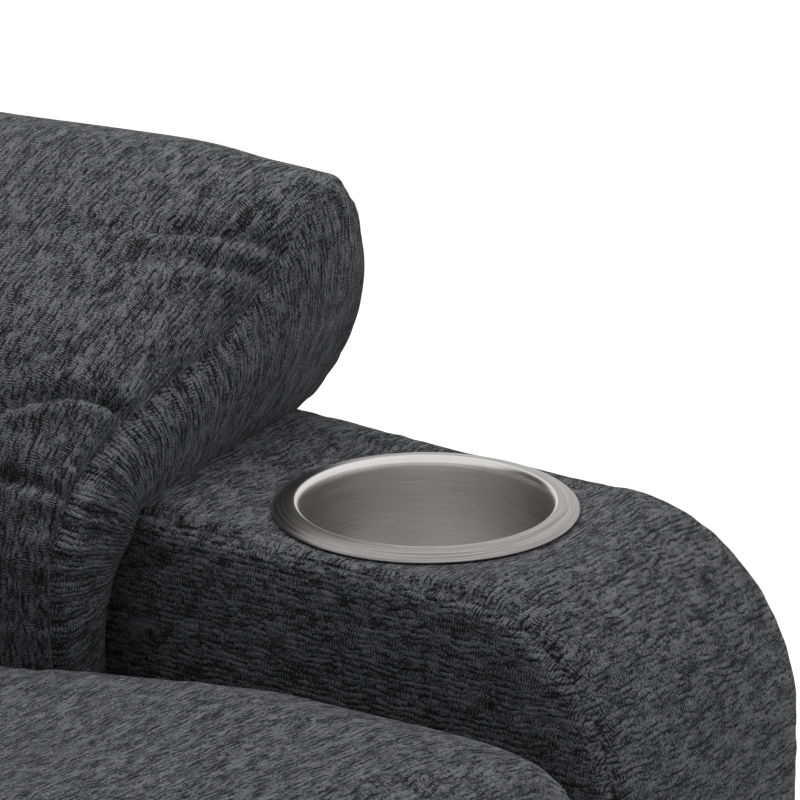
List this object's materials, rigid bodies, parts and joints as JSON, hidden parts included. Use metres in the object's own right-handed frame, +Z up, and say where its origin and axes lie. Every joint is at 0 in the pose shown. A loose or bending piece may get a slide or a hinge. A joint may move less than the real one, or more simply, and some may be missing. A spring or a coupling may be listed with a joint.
{
  "type": "power recliner",
  "caption": "Single-seat powered recliner with box arms, steel cup holders, saddle arm pillows, a reclining channelled back and a folding footrest on twin scissor linkages.",
  "frame": {"origin": "on the floor under the middle of the chair's overall box", "axes": "+X to the sitter's left, +Y to the rear of the chair, +Z up; the sitter faces -Y"},
  "size_m": [0.8186, 0.91, 1.028],
  "materials": {
    "upholstery": "charcoal melange chenille with slubs along the weft",
    "cup_steel": "brushed, rolled rim",
    "frame_wood": "plain plywood",
    "bare_steel": "zinc plated",
    "rail_aluminium": "drawn",
    "button_plastic": "fine grain",
    "black_plastic": "moulded",
    "black_metal": "powder coat"
  },
  "bodies": {
    "base": {"back_motor": "black_plastic", "back_motor_bracket": "black_metal", "back_rail": "rail_aluminium", "feet": "black_plastic", "front_cross_tube": "black_metal", "left_arm_band": "upholstery", "left_arm_boards": "frame_wood", "left_arm_inner_panel": "upholstery", "left_arm_outer_panel": "upholstery", "left_arm_pillow": "upholstery", "left_arm_top_board": "frame_wood", "left_cup_holder": "cup_steel", "left_seat_plate": "black_metal", "leg_motor": "black_plastic", "leg_motor_bracket": "black_metal", "leg_rail": "rail_aluminium", "mechanism_bolts": "bare_steel", "power_inlet": "black_plastic", "rear_apron": "frame_wood", "rear_cross_tube": "black_metal", "right_arm_band": "upholstery", "right_arm_boards": "frame_wood", "right_arm_inner_panel": "upholstery", "right_arm_outer_panel": "upholstery", "right_arm_pillow": "upholstery", "right_arm_top_board": "frame_wood", "right_cup_holder": "cup_steel", "right_seat_plate": "black_metal", "seat_cushion": "upholstery", "seat_frame": "frame_wood", "seat_springs": "bare_steel", "switch_panel": "black_plastic"},
    "main_links": {"left_main_link": "black_metal", "right_main_link": "black_metal", "drive_tube": "black_metal"},
    "rear_links": {"left_rear_link": "black_metal", "right_rear_link": "black_metal"},
    "scissor_links": {"left_scissor_link": "black_metal", "right_scissor_link": "black_metal"},
    "outer_links": {"left_outer_link": "black_metal", "right_outer_link": "black_metal"},
    "footrest": {"left_footrest_bracket": "black_metal", "right_footrest_bracket": "black_metal", "footrest_board": "frame_wood", "footrest_pad": "upholstery"},
    "leg_carriage": {"leg_carriage": "black_plastic"},
    "back": {"back_frame": "frame_wood", "back_springs": "bare_steel", "back_cushion": "upholstery", "outside_back": "upholstery", "back_tube": "black_metal", "left_back_bracket": "black_metal", "right_back_bracket": "black_metal"},
    "back_carriage": {"back_carriage": "black_plastic"},
    "footrest_out_button": {"footrest_out_button": "button_plastic"},
    "footrest_in_button": {"footrest_in_button": "button_plastic"},
    "back_down_button": {"back_down_button": "button_plastic"},
    "back_up_button": {"back_up_button": "button_plastic"}
  },
  "joints": [
    {"name": "footrest_open", "type": "hinge", "parent": "base", "child": "main_links", "pos_m": [0, -0.266, 0.285], "axis": [-1, 0, 0], "range_deg": [0, 95]},
    {"name": "rear_link_turn", "type": "hinge", "parent": "base", "child": "rear_links", "pos_m": [0, -0.17504, 0.22315], "axis": [-1, 0, 0], "range_deg": [0, 95.01]},
    {"name": "scissor_turn", "type": "hinge", "parent": "main_links", "child": "scissor_links", "pos_m": [0, -0.18343, 0.15977], "axis": [-1, 0, 0], "range_deg": [-95.01, 0]},
    {"name": "outer_link_turn", "type": "hinge", "parent": "main_links", "child": "outer_links", "pos_m": [0, -0.14214, 0.09716], "axis": [-1, 0, 0], "range_deg": [-95.01, 0]},
    {"name": "footrest_turn", "type": "hinge", "parent": "scissor_links", "child": "footrest", "pos_m": [0, -0.372, 0.288], "axis": [-1, 0, 0], "range_deg": [0, 95.01]},
    {"name": "leg_carriage_slide", "type": "slide", "parent": "base", "child": "leg_carriage", "axis": [0, -1, 0], "range_m": [0, 0.13534]},
    {"name": "back_recline", "type": "hinge", "parent": "base", "child": "back", "pos_m": [0, 0.205, 0.4], "axis": [-1, 0, 0], "range_deg": [0, 42]},
    {"name": "back_carriage_slide", "type": "slide", "parent": "base", "child": "back_carriage", "axis": [0, -1, 0], "range_m": [0, 0.09982]},
    {"name": "footrest_out_press", "type": "slide", "parent": "base", "child": "footrest_out_button", "axis": [1, 0, 0], "range_m": [0, 0.0015], "stiffness_N_per_m": 700},
    {"name": "footrest_in_press", "type": "slide", "parent": "base", "child": "footrest_in_button", "axis": [1, 0, 0], "range_m": [0, 0.0015], "stiffness_N_per_m": 700},
    {"name": "back_down_press", "type": "slide", "parent": "base", "child": "back_down_button", "axis": [1, 0, 0], "range_m": [0, 0.0015], "stiffness_N_per_m": 700},
    {"name": "back_up_press", "type": "slide", "parent": "base", "child": "back_up_button", "axis": [1, 0, 0], "range_m": [0, 0.0015], "stiffness_N_per_m": 700}
  ],
  "couplings": [
    {"joint": "rear_link_turn", "follows": "footrest_open", "ratio": 1},
    {"joint": "scissor_turn", "follows": "footrest_open", "ratio": -1},
    {"joint": "outer_link_turn", "follows": "footrest_open", "ratio": -1},
    {"joint": "footrest_turn", "follows": "footrest_open", "ratio": 1},
    {"joint": "leg_carriage_slide", "follows": "footrest_open", "m_per_rad": 0.081615},
    {"joint": "back_carriage_slide", "follows": "back_recline", "m_per_rad": 0.13615}
  ]
}
